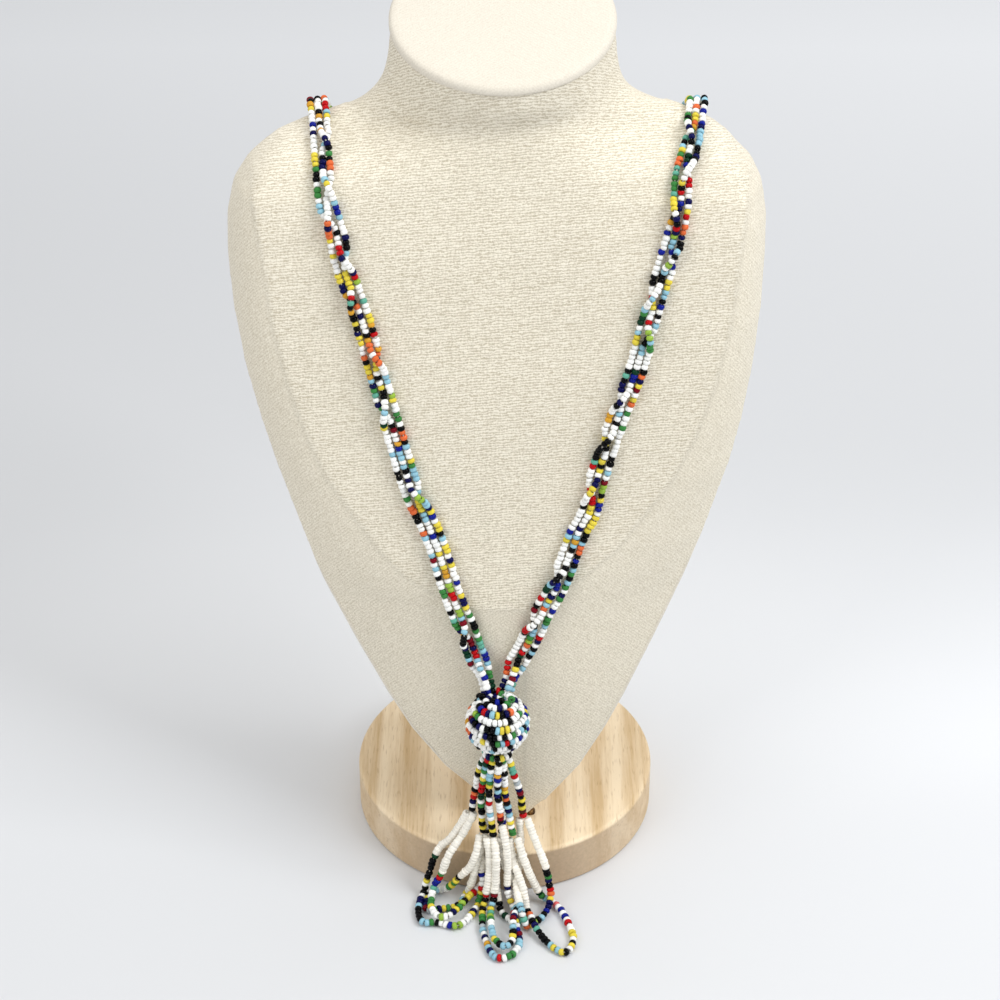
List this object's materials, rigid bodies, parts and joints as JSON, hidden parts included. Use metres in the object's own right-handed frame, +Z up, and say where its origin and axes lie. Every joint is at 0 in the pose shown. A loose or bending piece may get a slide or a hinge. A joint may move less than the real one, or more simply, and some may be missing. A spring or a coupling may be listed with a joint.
{
  "type": "tassel necklace on neck bust",
  "caption": "Plaited multicolour bead strings with a beaded ball and a looped bead tassel, worn by a linen neck bust on a round wooden base.",
  "frame": {"origin": "centre of the underside of the round base, on the table", "axes": "+Z up, +X to the right of someone who looks at the chest, the chest faces -Y"},
  "size_m": [0.1939, 0.1733, 0.3416],
  "materials": {
    "linen": "matt slub weave",
    "wood": "light, satin",
    "stud_brass": "dark, aged",
    "beads": "opaque gloss in many colours, ivory in the tassel's legs"
  },
  "bodies": {
    "root": {"neck_bust": "linen", "base": "wood", "post": "wood", "tip_stud": "stud_brass", "strand_a": "beads", "strand_b": "beads", "strand_c": "beads", "bead_ball": "beads", "tassel": "beads"}
  },
  "joints": []
}
